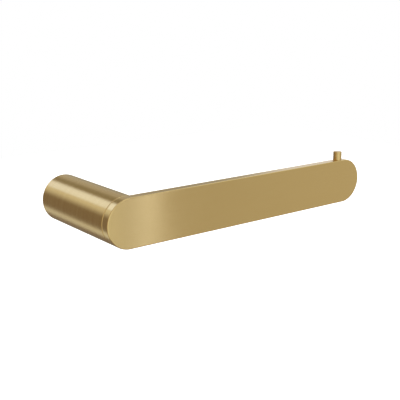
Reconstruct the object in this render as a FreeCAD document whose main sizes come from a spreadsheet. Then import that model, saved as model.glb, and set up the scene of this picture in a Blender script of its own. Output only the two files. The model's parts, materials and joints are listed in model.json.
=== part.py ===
import FreeCAD, Part
import math
import os
import re
import Sketcher

# Wall-mounted toilet paper holder, open at one end: a flat brass bar carried by a round post.
# The roll's core slips over the free end of the bar and a short pin on the bar's top edge keeps it on.
#
# Frame: +X along the bar towards its free end, +Y into the wall, +Z up.
# The origin is where the post's axis meets the wall's face. All lengths are millimetres.
#
# From the wall outwards: a bracket screwed to the wall, the post tube slipped over it and locked by a
# grub screw from below, a web closing the tube, and the bar, whose boss is drawn against the web by one
# cap screw and kept from turning by two dowels.

SHEET = "Sizes"

DRIVING_SIZES = {
    "post_dia": 25,  # also the height of the bar
    "projection": 65,  # wall to the bar's front face
    "bar_thick": 5,
    "bar_reach": 147,  # post's axis to the centre of the bar's free end
    "bar_edge": 0.5,  # radius that eases the bar's two outlines
    "pin_dia": 4.8,
    "pin_stand": 5,  # height of the pin above the bar
    "pin_back": 3.5,  # from the centre of the free end back to the pin
    "pin_edge": 0.25,
    "tenon_dia": 3,
    "tenon_length": 6,
    "tenon_room": 0.5,  # how much deeper the pin's hole is than its tenon
    "tube_wall": 2,
    "tube_edge": 0.5,
    "web_thick": 6,
    "boss_length": 7,
    "boss_tenon_dia": 11,
    "boss_tenon_length": 2.5,
    "screw_dia": 6,
    "screw_length": 16,
    "screw_head_dia": 10,
    "screw_head_length": 6,
    "screw_head_edge": 0.5,
    "screw_tip_edge": 0.5,
    "screw_key": 5,  # hexagon socket, across flats
    "screw_key_depth": 3,
    "screw_gap": 0.3,  # radial room of the screw in the web and the washers
    "washer_dia": 12,
    "washer_thick": 1.6,
    "split_width": 0.8,  # gap in the spring washer
    "dowel_dia": 3,
    "dowel_length": 8,
    "dowel_spacing": 15,
    "dowel_edge": 0.3,
    "dowel_room": 0.5,  # how much deeper the web's dowel holes are than the dowels reach
    "fit_gap": 0.05,  # radial room in every close fit
    "bracket_length": 12,
    "bracket_gap": 0.1,  # radial room of the bracket in the tube
    "bracket_edge": 0.6,
    "wall_hole_dia": 4.5,
    "wall_hole_spacing": 10,
    "wall_head_dia": 8,  # countersink for a 4 mm wood screw
    "groove_back": 7,  # from the wall to the middle of the groove
    "groove_depth": 2.2,
    "grub_dia": 4,
    "grub_length": 4,
    "grub_sunk": 0.2,  # how far the grub screw ends below the post's surface
    "grub_point": 1,  # flat on the point
    "grub_edge": 0.3,
    "grub_key": 2,
    "grub_key_depth": 1.8,
}

# Lengths that several sub-parts share, written in the sheet's names.
TUBE_BORE = "(post_dia / 2 - tube_wall)"
BAR_BACK = "(projection - bar_thick)"
WEB_FRONT = "(projection - bar_thick - boss_length)"
WEB_BACK = "(projection - bar_thick - boss_length - web_thick)"
BRACKET_RADIUS = "(post_dia / 2 - tube_wall - bracket_gap)"

HEX_CORNER = round(1 / math.sqrt(3), 7)  # from a hexagon's centre to its corner, for a width of one
SLIVER = 0.01  # mm3, less than any real cut removes
LEVEL_TOLERANCE = 1e-4  # mm

doc = FreeCAD.newDocument("toilet_paper_holder")
sheet = doc.addObject("Spreadsheet::Sheet", SHEET)


def fill_sheet():
    """Write one driving size in each row, under its own name."""
    for row, (name, size) in enumerate(DRIVING_SIZES.items(), start=1):
        sheet.set(f"A{row}", name)
        sheet.set(f"B{row}", str(size))
        sheet.setAlias(f"B{row}", name)
    doc.recompute()


def sized(formula):
    """The expression for a formula that is written in the sheet's names."""
    return re.sub(r"[a-z][a-z_]*", lambda word: f"{SHEET}.{word.group(0)}", formula)


def value(formula):
    """The formula's number at the sizes now in the sheet."""
    return float(sheet.evalExpression(sized(formula)))


def new_body(label):
    """An empty sub-part, whose label names its file."""
    body = doc.addObject("PartDesign::Body", label)
    body.Label = label
    return body


def place(body, across="0", back="0", up="0"):
    """Put the sub-part's own origin at this point of the holder."""
    for axis, formula in (("x", across), ("y", back), ("z", up)):
        body.setExpression(f"Placement.Base.{axis}", sized(formula))


def sketch_on(body, role, name, lift="0"):
    """A sketch on one of the body's origin planes, lifted along that plane's normal."""
    sketch = body.newObject("Sketcher::SketchObject", name)
    plane = next(item for item in body.Origin.OriginFeatures if item.Role == role)
    sketch.AttachmentSupport = [(plane, "")]
    sketch.MapMode = "FlatFace"
    sketch.setExpression("AttachmentOffset.Base.z", sized(lift))
    return sketch


def fix_point(sketch, geometry, end, across, up):
    """Hold one point of a line, arc or circle at a distance from the sketch's two axes."""
    for kind, formula, axis in (("DistanceX", across, -2), ("DistanceY", up, -1)):
        if formula == "0":
            sketch.addConstraint(Sketcher.Constraint("PointOnObject", geometry, end, axis))
            continue
        distance = Sketcher.Constraint(kind, -1, 1, geometry, end, value(formula))
        index = sketch.addConstraint(distance)
        sketch.setExpression(f"Constraints[{index}]", sized(formula))


def fix_radius(sketch, geometry, formula):
    """Hold the radius of a circle or an arc."""
    index = sketch.addConstraint(Sketcher.Constraint("Radius", geometry, value(formula)))
    sketch.setExpression(f"Constraints[{index}]", sized(formula))


def draw_outline(sketch, corners):
    """A closed outline of straight lines through the corners."""
    points = [FreeCAD.Vector(value(across), value(up), 0) for across, up in corners]
    for start, end in zip(points, points[1:] + points[:1]):
        sketch.addGeometry(Part.LineSegment(start, end), False)
    count = len(corners)
    for line, (across, up) in enumerate(corners):
        joint = Sketcher.Constraint("Coincident", line, 2, (line + 1) % count, 1)
        sketch.addConstraint(joint)
        fix_point(sketch, line, 1, across, up)


def draw_circle(sketch, radius, across="0", up="0"):
    """One circle."""
    centre = FreeCAD.Vector(value(across), value(up), 0)
    normal = FreeCAD.Vector(0, 0, 1)
    ring = sketch.addGeometry(Part.Circle(centre, normal, value(radius)), False)
    fix_point(sketch, ring, 3, across, up)
    fix_radius(sketch, ring, radius)


def draw_hexagon(sketch, width):
    """A regular hexagon about the sketch's origin, with two flats upright."""
    side = f"{width} / 2"
    tip = f"{width} * {HEX_CORNER}"
    half_tip = f"{width} * {HEX_CORNER} / 2"
    corners = [("0", tip), (side, half_tip), (side, f"-{half_tip}")]
    corners += [("0", f"-{tip}"), (f"-{side}", f"-{half_tip}"), (f"-{side}", half_tip)]
    draw_outline(sketch, corners)


def turn(body, role, corners, name="Turned"):
    """A turned solid: the corners are (radius, distance along the axis) pairs."""
    sketch = sketch_on(body, role, f"{body.Label}_{name}_profile")
    draw_outline(sketch, corners)
    revolution = body.newObject("PartDesign::Revolution", f"{body.Label}_{name}")
    revolution.Profile = sketch
    revolution.ReferenceAxis = (sketch, ["V_Axis"])
    revolution.Angle = 360
    sketch.Visibility = False
    doc.recompute()
    return revolution


def cut(body, sketch, depth, reverse=False):
    """Cut the sketch into the body to a depth, and see that it does remove material."""
    before = body.Shape.Volume
    pocket = body.newObject("PartDesign::Pocket", f"{sketch.Name}_cut")
    pocket.Profile = sketch
    pocket.setExpression("Length", sized(depth))
    pocket.Reversed = reverse
    doc.recompute()
    if body.Shape.Volume >= before - SLIVER:
        raise RuntimeError(f"{pocket.Name} removes nothing")
    return pocket


def edges_level(shape, axis, level):
    """Names of the edges that lie wholly in the plane across one axis."""
    names = []
    for number, edge in enumerate(shape.Edges, start=1):
        low, high = edge.BoundBox.getPoint(0)[axis], edge.BoundBox.getPoint(6)[axis]
        if abs(low - level) < LEVEL_TOLERANCE and abs(high - level) < LEVEL_TOLERANCE:
            names.append(f"Edge{number}")
    return names


def make_bar():
    """The flat bar, with round ends, the recess for its boss and the hole for its pin."""
    body = new_body("bar")
    sketch = sketch_on(body, "XZ_Plane", "bar_outline")
    radius = value("post_dia / 2")
    reach = value("bar_reach")
    up = FreeCAD.Vector(0, 0, 1)
    quarter = math.pi / 2
    sketch.addGeometry(Part.LineSegment(FreeCAD.Vector(0, radius, 0), FreeCAD.Vector(reach, radius, 0)))
    free_end = Part.Circle(FreeCAD.Vector(reach, 0, 0), up, radius)
    sketch.addGeometry(Part.ArcOfCircle(free_end, -quarter, quarter))
    sketch.addGeometry(Part.LineSegment(FreeCAD.Vector(reach, -radius, 0), FreeCAD.Vector(0, -radius, 0)))
    post_end = Part.Circle(FreeCAD.Vector(0, 0, 0), up, radius)
    sketch.addGeometry(Part.ArcOfCircle(post_end, quarter, 3 * quarter))
    for ends in ((0, 2, 1, 2), (1, 1, 2, 1), (2, 2, 3, 2), (3, 1, 0, 1)):
        sketch.addConstraint(Sketcher.Constraint("Tangent", *ends))
    fix_point(sketch, 1, 3, "bar_reach", "0")
    fix_point(sketch, 3, 3, "0", "0")
    fix_radius(sketch, 3, "post_dia / 2")
    pad = body.newObject("PartDesign::Pad", "bar_plate")
    pad.Profile = sketch
    pad.setExpression("Length", sized("bar_thick"))
    doc.recompute()

    edges = edges_level(pad.Shape, 1, 0) + edges_level(pad.Shape, 1, -value("bar_thick"))
    easing = body.newObject("PartDesign::Fillet", "bar_eased_edges")
    easing.Base = (pad, edges)
    easing.setExpression("Radius", sized("bar_edge"))
    doc.recompute()

    recess = sketch_on(body, "XZ_Plane", "boss_recess")
    draw_circle(recess, "boss_tenon_dia / 2 + fit_gap")
    cut(body, recess, "boss_tenon_length", reverse=True)

    hole = sketch_on(body, "XY_Plane", "pin_hole", lift="post_dia / 2")
    draw_circle(hole, "tenon_dia / 2 + fit_gap", "bar_reach - pin_back", "-bar_thick / 2")
    cut(body, hole, "tenon_length + tenon_room")
    place(body, back=f"-{BAR_BACK}")
    return body


def make_retaining_pin():
    """The upright pin: a tenon pressed into the bar and a shoulder that rests on its top edge."""
    body = new_body("retaining_pin")
    corners = [("0", "-tenon_length"), ("tenon_dia / 2", "-tenon_length"), ("tenon_dia / 2", "0")]
    corners += [("pin_dia / 2", "0"), ("pin_dia / 2", "pin_stand - pin_edge")]
    corners += [("pin_dia / 2 - pin_edge", "pin_stand"), ("0", "pin_stand")]
    turn(body, "XZ_Plane", corners)
    place(body, "bar_reach - pin_back", "-projection + bar_thick / 2", "post_dia / 2")
    return body


def make_bar_boss():
    """The round boss brazed into the bar's back: it centres the bar in the tube and takes the screw."""
    body = new_body("bar_boss")
    thread = "screw_dia / 2 + fit_gap"
    rim = f"{TUBE_BORE} - fit_gap"
    tenon = "boss_tenon_dia / 2"
    corners = [(thread, "-boss_tenon_length"), (tenon, "-boss_tenon_length"), (tenon, "0")]
    corners += [(rim, "0"), (rim, "boss_length"), (thread, "boss_length")]
    turn(body, "XY_Plane", corners)
    drill_dowel_holes(body, "boss_dowel", "-boss_length", "dowel_length / 2", reverse=True)
    place(body, back=f"-{BAR_BACK}")
    return body


def drill_dowel_holes(body, name, lift, depth, reverse=False):
    """The two dowel holes, level with the post's axis on either side of it."""
    sketch = sketch_on(body, "XZ_Plane", f"{name}_holes", lift=lift)
    for side in ("", "-"):
        draw_circle(sketch, "dowel_dia / 2 + fit_gap", f"{side}dowel_spacing / 2")
    cut(body, sketch, depth, reverse)


def make_post_tube():
    """The post: a tube with eased ends, tapped from below for the grub screw."""
    body = new_body("post_tube")
    outer = "post_dia / 2"
    eased = "post_dia / 2 - tube_edge"
    front = f"-{BAR_BACK}"
    corners = [(TUBE_BORE, "0"), (eased, "0"), (outer, "-tube_edge"), (outer, f"{front} + tube_edge")]
    corners += [(eased, front), (TUBE_BORE, front)]
    turn(body, "XY_Plane", corners)
    hole = sketch_on(body, "XY_Plane", "grub_hole")
    draw_circle(hole, "grub_dia / 2 + fit_gap", "0", "-groove_back")
    cut(body, hole, "post_dia")
    place(body)
    return body


def make_post_web():
    """The web fixed across the tube: the cap screw pulls the bar's boss against it."""
    body = new_body("post_web")
    rim = f"{TUBE_BORE} - fit_gap"
    hole = "screw_dia / 2 + screw_gap"
    turn(body, "XY_Plane", [(hole, "0"), (rim, "0"), (rim, "web_thick"), (hole, "web_thick")])
    drill_dowel_holes(body, "web_dowel", "0", "dowel_length / 2 + dowel_room")
    place(body, back=f"-{WEB_FRONT}")
    return body


def make_dowel(side, sign):
    """One of the two dowels that keep the bar from turning on the post."""
    body = new_body(f"dowel_{side}")
    radius = "dowel_dia / 2"
    eased = "dowel_dia / 2 - dowel_edge"
    half = "dowel_length / 2"
    corners = [("0", f"-{half}"), (eased, f"-{half}"), (radius, f"-{half} + dowel_edge")]
    corners += [(radius, f"{half} - dowel_edge"), (eased, half), ("0", half)]
    turn(body, "XY_Plane", corners)
    place(body, f"{sign}dowel_spacing / 2", f"-{WEB_FRONT}")
    return body


def make_flat_washer():
    """The plain washer on the back of the web."""
    body = new_body("flat_washer")
    draw_washer(body)
    place(body, back=f"-{WEB_BACK}")
    return body


def make_spring_washer():
    """The split washer under the screw's head, pressed flat."""
    body = new_body("spring_washer")
    draw_washer(body)
    slit = sketch_on(body, "XY_Plane", "washer_slit", lift="washer_dia")
    skew = "washer_thick / 2"
    corners = [("-split_width / 2", "0"), ("split_width / 2", "0")]
    corners += [(f"{side}split_width / 2 + {skew}", "washer_thick") for side in ("", "-")]
    draw_outline(slit, corners)
    cut(body, slit, "washer_dia")
    place(body, back=f"-{WEB_BACK} + washer_thick")
    return body


def draw_washer(body):
    """A flat ring for the cap screw."""
    hole = "screw_dia / 2 + screw_gap"
    rim = "washer_dia / 2"
    turn(body, "XY_Plane", [(hole, "0"), (rim, "0"), (rim, "washer_thick"), (hole, "washer_thick")])


def make_clamp_screw():
    """The socket cap screw that holds the bar to the post; its head faces the wall."""
    body = new_body("clamp_screw")
    head = "screw_head_dia / 2"
    top = "screw_head_length"
    shank = "screw_dia / 2"
    corners = [("0", "-screw_length"), (f"{shank} - screw_tip_edge", "-screw_length")]
    corners += [(shank, "-screw_length + screw_tip_edge"), (shank, "0"), (head, "0")]
    corners += [(head, f"{top} - screw_head_edge"), (f"{head} - screw_head_edge", top), ("0", top)]
    turn(body, "XY_Plane", corners)
    socket = sketch_on(body, "XZ_Plane", "clamp_screw_socket", lift=f"-{top}")
    draw_hexagon(socket, "screw_key")
    cut(body, socket, "screw_key_depth", reverse=True)
    place(body, back=f"-{WEB_BACK} + 2 * washer_thick")
    return body


def make_wall_bracket():
    """The bracket on the wall: two countersunk screw holes and a groove for the grub screw."""
    body = new_body("wall_bracket")
    radius = BRACKET_RADIUS
    front = "-bracket_length"
    corners = [("0", "0"), (radius, "0"), (radius, "-groove_back + groove_depth")]
    corners += [(f"{radius} - groove_depth", "-groove_back"), (radius, "-groove_back - groove_depth")]
    corners += [(radius, f"{front} + bracket_edge"), (f"{radius} - bracket_edge", front), ("0", front)]
    turn(body, "XY_Plane", corners)
    spots = sketch_on(body, "XZ_Plane", "wall_hole_centres", lift="bracket_length")
    for side in ("", "-"):
        draw_circle(spots, "wall_hole_dia / 2", "0", f"{side}wall_hole_spacing / 2")
    doc.recompute()
    before = body.Shape.Volume
    holes = body.newObject("PartDesign::Hole", "wall_holes")
    holes.Profile = spots
    holes.DepthType = "ThroughAll"
    holes.setExpression("Diameter", sized("wall_hole_dia"))
    holes.HoleCutType = "Countersink"
    holes.HoleCutCustomValues = True
    holes.setExpression("HoleCutDiameter", sized("wall_head_dia"))
    holes.HoleCutCountersinkAngle = 90
    doc.recompute()
    if body.Shape.Volume >= before - SLIVER:
        raise RuntimeError("the wall holes remove nothing")
    place(body)
    return body


def make_grub_screw():
    """The grub screw under the post: its point sits in the bracket's groove."""
    body = new_body("grub_screw")
    radius = "grub_dia / 2"
    point = "grub_point / 2"
    taper = "(grub_dia / 2 - grub_point / 2)"
    corners = [("0", "0"), (f"{radius} - grub_edge", "0"), (radius, "grub_edge")]
    corners += [(radius, f"grub_length - {taper}")]
    corners += [(point, "grub_length"), ("0", "grub_length")]
    turn(body, "XZ_Plane", corners)
    socket = sketch_on(body, "XY_Plane", "grub_screw_socket")
    draw_hexagon(socket, "grub_key")
    cut(body, socket, "grub_key_depth", reverse=True)
    place(body, back="-groove_back", up="-post_dia / 2 + grub_sunk")
    return body


def write_parts(bodies):
    """Check the whole document, then write one file for each sub-part."""
    doc.recompute()
    for item in doc.Objects:
        if "Invalid" in item.State or "Error" in item.State:
            raise RuntimeError(f"{item.Name} failed: {item.State}")
    for body in bodies:
        if body.Shape.isNull() or not body.Shape.isValid() or len(body.Shape.Solids) != 1:
            raise RuntimeError(f"{body.Label} is not one sound solid")
    os.makedirs("parts", exist_ok=True)
    for body in bodies:
        body.Shape.exportStep(f"parts/{body.Label}.step")
        box = body.Shape.BoundBox
        low = (round(box.XMin, 2), round(box.YMin, 2), round(box.ZMin, 2))
        high = (round(box.XMax, 2), round(box.YMax, 2), round(box.ZMax, 2))
        print(body.Label, low, high, f"{body.Shape.Volume:.1f} mm3")


fill_sheet()
sub_parts = [make_bar(), make_retaining_pin(), make_bar_boss(), make_post_tube(), make_post_web()]
sub_parts += [make_dowel("left", "-"), make_dowel("right", "")]
sub_parts += [make_flat_washer(), make_spring_washer(), make_clamp_screw()]
sub_parts += [make_wall_bracket(), make_grub_screw()]
write_parts(sub_parts)
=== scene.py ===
import json
import math

import bmesh
import bpy
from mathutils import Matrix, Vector


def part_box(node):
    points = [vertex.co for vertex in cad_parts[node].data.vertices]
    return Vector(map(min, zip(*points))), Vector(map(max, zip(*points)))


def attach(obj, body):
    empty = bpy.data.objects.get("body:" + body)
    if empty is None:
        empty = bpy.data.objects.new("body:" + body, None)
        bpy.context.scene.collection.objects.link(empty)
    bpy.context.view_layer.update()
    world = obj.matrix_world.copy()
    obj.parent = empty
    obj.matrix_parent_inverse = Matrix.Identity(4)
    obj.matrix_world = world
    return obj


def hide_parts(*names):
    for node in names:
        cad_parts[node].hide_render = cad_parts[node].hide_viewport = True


# A wall-mounted toilet paper holder in brushed brass: a flat round-ended bar on a round post, with a
# short pin on the bar. The three brass pieces that show are built here, over the CAD nodes they stand
# for; the bracket, the screws and the other inner pieces are the CAD nodes with finished materials.
# Everything is in metres: +X along the bar, +Y into the wall, +Z up.

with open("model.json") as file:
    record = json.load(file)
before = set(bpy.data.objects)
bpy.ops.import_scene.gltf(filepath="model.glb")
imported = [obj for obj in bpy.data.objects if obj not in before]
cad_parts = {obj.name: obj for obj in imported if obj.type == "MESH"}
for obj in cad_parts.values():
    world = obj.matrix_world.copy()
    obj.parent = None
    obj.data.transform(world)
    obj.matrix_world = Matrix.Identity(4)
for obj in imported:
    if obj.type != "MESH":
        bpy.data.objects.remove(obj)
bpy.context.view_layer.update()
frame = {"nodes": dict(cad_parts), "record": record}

# ---------------------------------------------------------------------------------------------
# Sizes, read from the frame
# ---------------------------------------------------------------------------------------------

bar_low, bar_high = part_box("bar")
post_low, post_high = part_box("post_tube")
pin_low, pin_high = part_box("retaining_pin")
web_low, web_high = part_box("post_web")
boss_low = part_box("bar_boss")[0]
grub_low, grub_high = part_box("grub_screw")

MM = 0.001
FIT_GAP = 0.05 * MM  # radial room in a close fit
BAR_RADIUS = (bar_high.z - bar_low.z) / 2
BAR_REACH = bar_high.x - bar_low.x - 2 * BAR_RADIUS
POST_RADIUS = (post_high.x - post_low.x) / 2
BORE_RADIUS = (web_high.x - web_low.x) / 2 + FIT_GAP
PIN_RADIUS = (pin_high.x - pin_low.x) / 2
POST_AXIS = Vector(((post_low.x + post_high.x) / 2, 0, (post_low.z + post_high.z) / 2))
PIN_AXIS = Vector(((pin_low.x + pin_high.x) / 2, (pin_low.y + pin_high.y) / 2, 0))

# Radii of the eased edges.
BAR_EDGE = 0.5 * MM
POST_EDGE = 0.4 * MM
PIN_EDGE = 0.3 * MM
PIN_SHOULDER_EDGE = 0.1 * MM

# The joints inside, which the frame's boxes don't give.
RECESS_RADIUS = 5.55 * MM  # in the bar's back, for its boss
TENON_RADIUS = 1.5 * MM  # under the pin
TENON_ROOM = 0.5 * MM  # how much deeper the pin's hole is than its tenon
GRUB_HOLE_RADIUS = 2.05 * MM
GRUB_HOLE_DEPTH = 4 * MM
GRUB_HOLE_MOUTH = 0.25 * MM  # countersink, both its depth and its extra radius

ROUND_STEPS = 96  # steps in half a turn
STRAIGHT_STEPS = 24  # steps along each long side of the bar
EDGE_STEPS = 5  # steps across a rounded edge
SHARP_ANGLE = 40  # degrees between faces, above which an edge isn't shaded smooth

# ---------------------------------------------------------------------------------------------
# Shapes
# ---------------------------------------------------------------------------------------------


def rounded_outline(corners, closed):
    """The corners, each (place, radius), as a run of (place, edge): edge is 1 midway round a corner."""
    places = [Vector(place) for place, radius in corners]
    run = []
    for index, (place, radius) in enumerate(corners):
        inner = closed or 0 < index < len(corners) - 1
        if not radius or not inner:
            run.append((places[index], 0.0))
            continue
        before = (places[index - 1] - places[index]).normalized()
        after = (places[(index + 1) % len(places)] - places[index]).normalized()
        half = before.angle(after) / 2
        setback = radius / math.tan(half)
        centre = places[index] + (before + after).normalized() * (radius / math.sin(half))
        start = (places[index] + before * setback - centre).normalized()
        end = (places[index] + after * setback - centre).normalized()
        for step in range(EDGE_STEPS + 1):
            share = step / EDGE_STEPS
            run.append((centre + start.slerp(end, share) * radius, math.sin(math.pi * share)))
    return run


def skin(name, rings, along, edge_wear_and_highlight, closed=False, cap_axes=(0, 2)):
    """A solid from rings of points, with a UV map in metres: u from ring to ring, v along each ring.

    The fourth argument says how much of an edge point j of every ring is, which the brass uses both for
    rubbing and for a painted highlight along the edges, and along has the distance to each ring, with the
    whole way round last. Open rings leave two ends, which are capped, and closed rings make a tube.
    """
    mesh = bpy.data.meshes.new(name)
    shape = bmesh.new()
    uv = shape.loops.layers.uv.new("brush")
    edge = shape.verts.layers.float.new("edge")
    verts = []
    for ring in rings:
        verts.append([shape.verts.new(place) for place in ring])
        for vert, amount in zip(verts[-1], edge_wear_and_highlight):
            vert[edge] = amount
    count = len(rings[0])
    across = [0.0]
    for here, there in zip(rings[0], rings[0][1:] + rings[0][:1]):
        across.append(across[-1] + (Vector(there) - Vector(here)).length)
    for i in range(len(rings)):
        k = (i + 1) % len(rings)
        for j in range(count if closed else count - 1):
            n = (j + 1) % count
            face = shape.faces.new((verts[i][j], verts[k][j], verts[k][n], verts[i][n]))
            marks = ((along[i], across[j]), (along[i + 1], across[j]))
            marks += ((along[i + 1], across[j + 1]), (along[i], across[j + 1]))
            for loop, mark in zip(face.loops, marks):
                loop[uv].uv = mark
    if not closed:
        # Each cap's part of the map lies a metre or more away from the side's.
        for j, apart in ((0, 1.0), (count - 1, 2.0)):
            cap = shape.faces.new([ring[j] for ring in verts])
            for loop in cap.loops:
                place = loop.vert.co
                loop[uv].uv = (place[cap_axes[0]], place[cap_axes[1]] + apart)
    bmesh.ops.recalc_face_normals(shape, faces=shape.faces)
    shape.to_mesh(mesh)
    shape.free()
    piece = bpy.data.objects.new(name, mesh)
    bpy.context.scene.collection.objects.link(piece)
    return piece


def turned(name, corners, origin, axis, closed=False):
    """A turned solid about an axis along Y or Z, through the origin given.

    Each corner of its section is ((distance from the axis, place along it), radius of its rounding).
    """
    profile = rounded_outline([((*place, 0), radius) for place, radius in corners], closed)
    steps = 2 * ROUND_STEPS
    rings = []
    for step in range(steps):
        turn = 2 * math.pi * step / steps
        ring = []
        for place, amount in profile:
            side, front, length = place.x * math.cos(turn), place.x * math.sin(turn), place.y
            ring.append(origin + Vector((side, length, front) if axis == "Y" else (side, front, length)))
        rings.append(ring)
    widest = max(place.x for place, amount in profile)
    along = [2 * math.pi * widest * step / steps for step in range(steps + 1)]
    cap_axes = (0, 2) if axis == "Y" else (0, 1)
    return skin(name, rings, along, [amount for place, amount in profile], closed, cap_axes)


def cut(piece, cutter):
    """Cut one solid out of another, for good."""
    knife = piece.modifiers.new("cut", "BOOLEAN")
    knife.operation = "DIFFERENCE"
    knife.solver = "EXACT"
    knife.object = cutter
    bpy.context.view_layer.update()
    graph = bpy.context.evaluated_depsgraph_get()
    carved = bpy.data.meshes.new_from_object(piece.evaluated_get(graph))
    piece.modifiers.remove(knife)
    piece.data = carved
    carved.name = piece.name
    bpy.data.objects.remove(cutter)


def finish_shading(piece):
    """Smooth shading that keeps flat faces flat and true edges sharp."""
    piece.data.shade_smooth()
    piece.data.set_sharp_from_angle(angle=math.radians(SHARP_ANGLE))
    normals = piece.modifiers.new("weighted_normals", "WEIGHTED_NORMAL")
    normals.keep_sharp = True
    normals.weight = 80


def outline_of_bar():
    """Stations round the bar: (place on its middle line, outward direction, distance round so far)."""
    stations = []
    travelled = 0.0
    for centre_x, first_turn in ((BAR_REACH, -0.5), (0.0, 0.5)):
        for step in range(ROUND_STEPS + 1):
            turn = math.pi * (first_turn + step / ROUND_STEPS)
            outward = Vector((math.cos(turn), 0, math.sin(turn)))
            arc = math.pi * BAR_RADIUS * step / ROUND_STEPS
            stations.append((Vector((centre_x, 0, 0)), outward, travelled + arc))
        travelled += math.pi * BAR_RADIUS
        for step in range(1, STRAIGHT_STEPS):
            share = step / STRAIGHT_STEPS
            x = centre_x + (BAR_REACH - 2 * centre_x) * share
            stations.append((Vector((x, 0, 0)), outward, travelled + BAR_REACH * share))
        travelled += BAR_REACH
    return stations, travelled


def make_bar():
    """The flat bar, with its two outlines eased, the recess for its boss and the hole for its pin."""
    across = [((0, bar_low.y, 0), 0), ((BAR_RADIUS, bar_low.y, 0), BAR_EDGE)]
    across += [((BAR_RADIUS, bar_high.y, 0), BAR_EDGE), ((0, bar_high.y, 0), 0)]
    profile = rounded_outline(across, False)[1:-1]  # without the two points on the middle line
    stations, length = outline_of_bar()
    rings = []
    for centre, outward, travelled in stations:
        centre = POST_AXIS + centre
        rings.append([centre + outward * place.x + Vector((0, place.y, 0)) for place, amount in profile])
    along = [travelled for centre, outward, travelled in stations] + [length]
    bar = skin("bar_plate", rings, along, [amount for place, amount in profile])
    depth = bar_high.y - boss_low.y
    recess = [((RECESS_RADIUS, -depth), 0), ((RECESS_RADIUS, depth), 0)]
    cut(bar, turned("recess", recess, POST_AXIS + Vector((0, bar_high.y, 0)), "Y"))
    hole_radius = TENON_RADIUS + FIT_GAP
    hole_depth = bar_high.z - pin_low.z + TENON_ROOM
    hole = [((hole_radius, -hole_depth), 0), ((hole_radius, hole_depth), 0)]
    cut(bar, turned("pin_hole", hole, PIN_AXIS + Vector((0, 0, bar_high.z)), "Z"))
    return bar


def make_post():
    """The post tube, with eased ends and the threaded hole for the grub screw underneath."""
    corners = [((BORE_RADIUS, post_high.y), 0), ((POST_RADIUS, post_high.y), POST_EDGE)]
    corners += [((POST_RADIUS, post_low.y), POST_EDGE), ((BORE_RADIUS, post_low.y), 0)]
    post = turned("post_shell", corners, POST_AXIS, "Y", closed=True)
    middle = Vector(((grub_low.x + grub_high.x) / 2, (grub_low.y + grub_high.y) / 2, post_low.z))
    mouth_radius = GRUB_HOLE_RADIUS + 2 * GRUB_HOLE_MOUTH  # where the countersink's cone ends, outside
    hole = [((mouth_radius, -GRUB_HOLE_MOUTH), 0), ((GRUB_HOLE_RADIUS, GRUB_HOLE_MOUTH), 0)]
    hole.append(((GRUB_HOLE_RADIUS, GRUB_HOLE_DEPTH), 0))
    cut(post, turned("grub_hole", hole, middle, "Z"))
    return post


def make_pin():
    """The upright pin: a tenon in the bar, a shoulder on its edge and an eased top."""
    top, shoulder, bottom = pin_high.z, bar_high.z, pin_low.z
    centre_radius = 0.02 * MM  # of the tiny cap that closes the top
    corners = [((TENON_RADIUS, bottom), 0), ((TENON_RADIUS, shoulder), 0)]
    corners += [((PIN_RADIUS, shoulder), PIN_SHOULDER_EDGE), ((PIN_RADIUS, top), PIN_EDGE)]
    corners.append(((centre_radius, top), 0))
    return turned("pin", corners, PIN_AXIS, "Z")


# ---------------------------------------------------------------------------------------------
# Materials
# ---------------------------------------------------------------------------------------------

BRASS = (0.74, 0.56, 0.27)
BRASS_DEEP = (0.66, 0.47, 0.20)
# Lighter brass for the rounded edges: partly rubbing, partly a painted highlight along them.
BRASS_WORN_HIGHLIT = (0.80, 0.62, 0.31)
BRASS_TURNED = (0.78, 0.61, 0.30)
BRASS_TURNED_DEEP = (0.62, 0.45, 0.20)
ZINC = (0.60, 0.61, 0.63)
ZINC_DEEP = (0.42, 0.42, 0.44)

# Two ranges of a noise's values: most of them, and nearly all.
CORE = (0.35, 0.65)
WIDE = (0.3, 0.7)

# Where a Mix node keeps its two inputs and its output for each type of value.
MIX_SOCKETS = {"VECTOR": (4, 5, 1), "RGBA": (6, 7, 2)}


def node(tree, kind, inputs=None, **settings):
    """A new shader node with its settings made and its inputs set or linked."""
    made = tree.nodes.new("ShaderNode" + kind)
    for key, setting in settings.items():
        setattr(made, key, setting)
    for key, value in (inputs or {}).items():
        if isinstance(value, bpy.types.NodeSocket):
            tree.links.new(value, made.inputs[key])
        else:
            made.inputs[key].default_value = value
    return made


def calc(tree, operation, first, second=0.0):
    """The result of one sum, product or other step of arithmetic."""
    return node(tree, "Math", {0: first, 1: second}, operation=operation).outputs[0]


def spread(tree, value, span, low, high):
    """The value, clamped to a span and stretched so that the span's ends give low and high."""
    inputs = {"Value": value, "From Min": span[0], "From Max": span[1], "To Min": low, "To Max": high}
    return node(tree, "MapRange", inputs, clamp=True).outputs["Result"]


def mix(tree, kind, share, first, second):
    """Two colours or two vectors mixed; the share is how much there is of the second."""
    into_first, into_second, result = MIX_SOCKETS[kind]
    inputs = {"Factor": share, into_first: first, into_second: second}
    return node(tree, "Mix", inputs, data_type=kind).outputs[result]


def blend(tree, first, second, first_share):
    """Two textures added up, with the shares of the whole that each one has."""
    second_part = calc(tree, "MULTIPLY", second, 1 - first_share)
    return calc(tree, "ADD", calc(tree, "MULTIPLY", first, first_share), second_part)


def new_material(name):
    """A material with only its shader, ready for nodes."""
    material = bpy.data.materials.new(name)
    material.use_nodes = True
    tree = material.node_tree
    tree.nodes.clear()
    shader = node(tree, "BsdfPrincipled")
    node(tree, "OutputMaterial", {"Surface": shader.outputs["BSDF"]})
    return material, tree, shader


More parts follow.
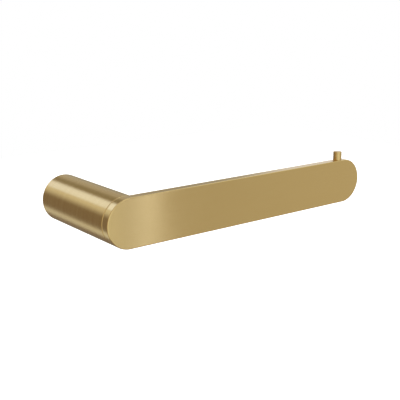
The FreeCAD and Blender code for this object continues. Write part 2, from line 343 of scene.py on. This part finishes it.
def streaks(tree, place, along, across):
    """Fine parallel brush marks: along and across are how many marks there are to the metre."""
    scaled = node(tree, "Mapping", {"Vector": place, "Scale": (along, across, 1.0)})
    inputs = {"Vector": scaled.outputs["Vector"], "Scale": 1.0, "Detail": 3.0, "Roughness": 0.6}
    return node(tree, "TexNoise", inputs, noise_dimensions="2D").outputs["Fac"]


def brushed_brass(name, aniso, roughness, contrast, broad_marks):
    """Satin brass: marks along u, faint tarnish, edges lighter from rubbing and a painted highlight, a thin
    lacquer.

    The contrast is how far the marks darken the brass, and broad_marks is how many of the broader ones
    there are to the metre.
    """
    material, tree, shader = new_material(name)
    place = node(tree, "UVMap", uv_map="brush").outputs["UV"]
    space = node(tree, "TexCoord").outputs["Object"]
    fine = streaks(tree, place, along=70.0, across=9000.0)
    broad = streaks(tree, place, along=18.0, across=broad_marks)
    tarnish = node(tree, "TexNoise", {"Vector": space, "Scale": 32.0, "Detail": 4.0}).outputs["Fac"]
    edge = node(tree, "Attribute", attribute_name="edge").outputs["Fac"]
    # Rounded edges get lighter brass, partly from rubbing and partly as a painted highlight along them.
    rubbed_and_highlit = calc(tree, "MULTIPLY", edge, spread(tree, tarnish, CORE, 0.25, 0.7))

    marks = blend(tree, fine, broad, 0.5)
    darker = spread(tree, marks, CORE, contrast, 0.0)
    depth = calc(tree, "ADD", darker, spread(tree, tarnish, WIDE, 0.10, 0.0))
    tone = mix(tree, "RGBA", depth, (*BRASS, 1), (*BRASS_DEEP, 1))
    worn_and_highlit = mix(tree, "RGBA", rubbed_and_highlit, tone, (*BRASS_WORN_HIGHLIT, 1))
    tree.links.new(worn_and_highlit, shader.inputs["Base Color"])

    grain = spread(tree, marks, WIDE, roughness - 0.015, roughness + 0.015)
    hazy = calc(tree, "ADD", grain, spread(tree, tarnish, WIDE, -0.01, 0.01))
    smoothed = calc(tree, "SUBTRACT", hazy, calc(tree, "MULTIPLY", rubbed_and_highlit, 0.06))
    tree.links.new(smoothed, shader.inputs["Roughness"])

    bump = node(tree, "Bump", {"Height": marks, "Strength": 0.12, "Distance": 0.00002})
    tree.links.new(bump.outputs["Normal"], shader.inputs["Normal"])
    tangent = node(tree, "Tangent", direction_type="UV_MAP", uv_map="brush").outputs["Tangent"]
    tree.links.new(tangent, shader.inputs["Tangent"])
    shader.inputs["Metallic"].default_value = 1.0
    shader.inputs["Anisotropic"].default_value = aniso
    shader.inputs["Anisotropic Rotation"].default_value = 0.25
    shader.inputs["Coat Weight"].default_value = 0.3
    shader.inputs["Coat Roughness"].default_value = 0.22
    return material


def turned_metal(name, colour, deep, roughness):
    """Bare machined metal: rings left by the tool round the post's axis, and a little haze.

    The CAD nodes that carry it have no UV map, so its pattern goes by the distance from the axis and the
    place along it.
    """
    material, tree, shader = new_material(name)
    space = node(tree, "TexCoord").outputs["Object"]
    parts = node(tree, "SeparateXYZ", {"Vector": space})
    radius = node(tree, "VectorMath", {0: space, 1: (1, 0, 1)}, operation="MULTIPLY").outputs["Vector"]
    radius = node(tree, "VectorMath", {0: radius}, operation="LENGTH").outputs["Value"]
    line = node(tree, "CombineXYZ", {"X": radius, "Y": parts.outputs["Y"]}).outputs["Vector"]
    fine = node(tree, "TexNoise", {"Vector": line, "Scale": 5000.0, "Detail": 2.0}).outputs["Fac"]
    broad = node(tree, "TexNoise", {"Vector": line, "Scale": 1100.0, "Detail": 2.0}).outputs["Fac"]
    rings = blend(tree, fine, broad, 0.4)
    haze = node(tree, "TexNoise", {"Vector": space, "Scale": 90.0, "Detail": 4.0}).outputs["Fac"]
    depth = calc(tree, "ADD", spread(tree, rings, CORE, 0.6, 0.0), spread(tree, haze, WIDE, 0.4, 0.0))
    tone = mix(tree, "RGBA", depth, (*colour, 1), (*deep, 1))
    tree.links.new(tone, shader.inputs["Base Color"])

    grain = spread(tree, rings, CORE, roughness - 0.08, roughness + 0.08)
    hazy = calc(tree, "ADD", grain, spread(tree, haze, WIDE, -0.05, 0.05))
    tree.links.new(hazy, shader.inputs["Roughness"])

    bump = node(tree, "Bump", {"Height": rings, "Strength": 0.5, "Distance": 0.00005})
    tree.links.new(bump.outputs["Normal"], shader.inputs["Normal"])
    shader.inputs["Metallic"].default_value = 1.0
    return material


# ---------------------------------------------------------------------------------------------
# Studio
# ---------------------------------------------------------------------------------------------

# Tints of light, from a dim room's amber to a window's blue, each with its red at 1.
AMBER = (1.0, 0.78, 0.45)
TAN = (1.0, 0.80, 0.60)
STRAW = (1.0, 0.88, 0.60)
LINEN = (1.0, 0.93, 0.74)
CREAM = (1.0, 1.0, 0.88)
WHITE = (1.0, 1.0, 1.05)
DAYLIGHT = (1.0, 1.05, 1.15)
SKY = (1.0, 1.10, 1.30)

# Cards of light far round the object, each over the ones before it, from the dim room to the wall. Each
# has the axis that it runs round, its middle turn and its width, its lowest and highest latitude and the
# softness of its rim, all in degrees, and then its strength and tint. Turns round Z run clockwise from
# +Y, seen from above. Turns round Y, which is the post's axis, start at +X and go up over the post.
CARDS = (
    ("room", "Z", 180, 400, -95, 95, 2, 0.35, TAN),
    ("floor", "Z", 180, 400, -95, -52, 8, 0.25, TAN),
    ("ceiling", "Z", 150, 200, 40, 95, 8, 0.90, WHITE),
    ("left_warm", "Z", 270, 52, -50, 40, 10, 0.60, AMBER),
    ("left_front", "Z", 226, 44, -50, 50, 5, 0.65, CREAM),
    ("left_front_glow", "Z", 222, 14, -50, 50, 6, 0.80, CREAM),
    ("front", "Z", 179, 62, -50, 60, 0.8, 0.90, CREAM),
    ("front_glow", "Z", 186, 14, -50, 60, 13, 1.05, CREAM),
    ("front_shade", "Z", 168, 4, -50, 60, 7, 0.70, CREAM),
    ("front_high", "Z", 184, 46, 32, 62, 8, 0.40, STRAW),
    ("front_low", "Z", 184, 46, -62, -34, 8, 0.30, TAN),
    ("front_edge", "Z", 149.2, 2.4, -50, 60, 0.5, 0.75, CREAM),
    ("front_gap", "Z", 147.6, 1.0, -50, 60, 0.3, 0.35, STRAW),
    ("front_strip", "Z", 146.2, 1.6, -50, 60, 0.25, 1.35, DAYLIGHT),
    ("front_right", "Z", 126.7, 36, -50, 60, 0.3, 0.55, LINEN),
    ("front_step", "Z", 145.2, 0.6, -50, 60, 0.2, 0.45, STRAW),
    ("front_far_right", "Z", 124, 24, -50, 60, 6, 0.60, LINEN),
    ("right", "Z", 54, 24, -30, 50, 2, 0.85, WHITE),
    ("right_upper", "Z", 90, 70, 18, 55, 8, 0.85, CREAM),
    ("post_dim", "Y", 225, 170, 38, 90, 8, 0.25, TAN),
    ("post_deep", "Y", 205, 70, 30, 57, 5, 0.25, TAN),
    ("post_low", "Y", 245, 30, 38, 90, 4, 0.75, CREAM),
    ("post_right", "Y", -20, 80, 50, 90, 8, 0.30, CREAM),
    ("post_back", "Y", 36, 50, 50, 90, 4, 0.55, LINEN),
    ("post_back_low", "Z", 38, 10, 6, 22, 2, 0.40, LINEN),
    ("post_warm", "Y", 127, 54, 38, 90, 20, 0.90, CREAM),
    ("post_flag", "Y", 76, 28, 38, 90, 4, 0.30, STRAW),
    ("post_cool", "Y", 111, 35, 38, 90, 4, 1.15, SKY),
    ("wall", "Y", 0, 400, 71, 110, 5, 0.35, TAN),
)


def card_window(tree, direction, axis, turn, width, low, high, rim):
    """How much of a card of light shows in a direction."""
    angle = math.radians(turn)
    side, over = math.cos(angle), math.sin(angle)
    if axis == "Z":
        ahead, right, pole = (over, side, 0), (side, -over, 0), (0, 0, 1)
    else:
        ahead, right, pole = (side, 0, over), (-over, 0, side), (0, 1, 0)
    along = []
    for way in (ahead, right, pole):
        product = node(tree, "VectorMath", {0: direction, 1: way}, operation="DOT_PRODUCT")
        along.append(product.outputs["Value"])
    offset = calc(tree, "ARCTAN2", along[1], along[0])
    latitude = calc(tree, "SUBTRACT", calc(tree, "ARCSINE", along[2]), math.radians((low + high) / 2))
    window = None
    for place, size in ((offset, width), (latitude, high - low)):
        inputs = {"Value": calc(tree, "ABSOLUTE", place), "To Min": 1.0, "To Max": 0.0}
        inputs["From Min"] = math.radians(size / 2 - rim)
        inputs["From Max"] = math.radians(size / 2 + rim)
        shade = node(tree, "MapRange", inputs, interpolation_type="SMOOTHSTEP").outputs["Result"]
        window = shade if window is None else calc(tree, "MULTIPLY", window, shade)
    return window


def make_world():
    """Cards of light in a dim warm room; the camera itself sees a plain white backdrop."""
    world = bpy.data.worlds.new("studio")
    bpy.context.scene.world = world
    world.use_nodes = True
    tree = world.node_tree
    tree.nodes.clear()
    direction = node(tree, "TexCoord").outputs["Generated"]
    light = (0, 0, 0)
    for name, axis, turn, width, low, high, rim, strength, tint in CARDS:
        window = card_window(tree, direction, axis, turn, width, low, high, rim)
        colour = [strength * share for share in tint]
        light = mix(tree, "VECTOR", window, light, colour)
    room = node(tree, "Background", {"Color": light, "Strength": 1.0}).outputs["Background"]
    white = node(tree, "Background", {"Color": (1, 1, 1, 1), "Strength": 1.0}).outputs["Background"]
    seen = node(tree, "LightPath").outputs["Is Camera Ray"]
    either = node(tree, "MixShader", {0: seen, 1: room, 2: white})
    node(tree, "OutputWorld", {"Surface": either.outputs["Shader"]})


def make_floor():
    """A plain pale floor, lit evenly from within like a light table."""
    half, level = 3.0, -0.6  # half the side of its square, and its height
    mesh = bpy.data.meshes.new("floor")
    corners = [(-half, -half, level), (half, -half, level), (half, half, level), (-half, half, level)]
    mesh.from_pydata(corners, [], [(0, 1, 2, 3)])
    floor = bpy.data.objects.new("floor", mesh)
    bpy.context.scene.collection.objects.link(floor)
    material, tree, shader = new_material("floor_white")
    shader.inputs["Base Color"].default_value = (0.9, 0.9, 0.9, 1)
    shader.inputs["Roughness"].default_value = 0.8
    shader.inputs["Emission Color"].default_value = (1, 1, 1, 1)
    shader.inputs["Emission Strength"].default_value = 1.0
    mesh.materials.append(material)
    floor.visible_glossy = False
    floor.visible_diffuse = False


def make_camera():
    """The camera, from the post's side and a little above, aimed near the post's end of the bar."""
    azimuth, elevation = math.radians(-37.97), math.radians(14.29)
    aim = Vector((41.1 * MM, bar_low.y, 5.1 * MM))
    distance = 376.8 * MM
    level_part = math.cos(elevation)
    back = Vector((math.sin(azimuth) * level_part, -math.cos(azimuth) * level_part, math.sin(elevation)))
    data = bpy.data.cameras.new("camera")
    data.sensor_width = 36.0
    data.lens = 68.24
    data.clip_start = 0.01
    camera = bpy.data.objects.new("camera", data)
    camera.location = aim + back * distance
    camera.rotation_mode = "QUATERNION"
    camera.rotation_quaternion = (-back).to_track_quat("-Z", "Y")
    bpy.context.scene.collection.objects.link(camera)
    bpy.context.scene.camera = camera


# ---------------------------------------------------------------------------------------------
# Assembly
# ---------------------------------------------------------------------------------------------

make_camera()
make_world()
make_floor()
bpy.context.scene.view_settings.view_transform = "Standard"

flat_look = {"aniso": 1.0, "roughness": 0.16, "contrast": 0.16, "broad_marks": 1300.0}
round_look = {"aniso": 0.88, "roughness": 0.21, "contrast": 0.7, "broad_marks": 650.0}
flat_brass = brushed_brass("brass_brushed_flat", **flat_look)
round_brass = brushed_brass("brass_brushed_round", **round_look)
shown = (
    (make_bar(), "bar", flat_brass),
    (make_post(), "post_tube", round_brass),
    (make_pin(), "retaining_pin", round_brass),
)
for piece, cad_node, brass in shown:
    finish_shading(piece)
    piece.data.materials.clear()
    piece.data.materials.append(brass)
    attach(piece, "root")
    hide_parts(cad_node)

finishes = {
    "turned_brass": turned_metal("brass_turned", BRASS_TURNED, BRASS_TURNED_DEEP, roughness=0.32),
    "fastener_steel": turned_metal("steel_zinc", ZINC, ZINC_DEEP, roughness=0.34),
}
for subpart in frame["record"]["subparts"]:
    if subpart["material_slot"] in finishes:
        for slot in frame["nodes"][subpart["node"]].material_slots:
            slot.material = finishes[subpart["material_slot"]]
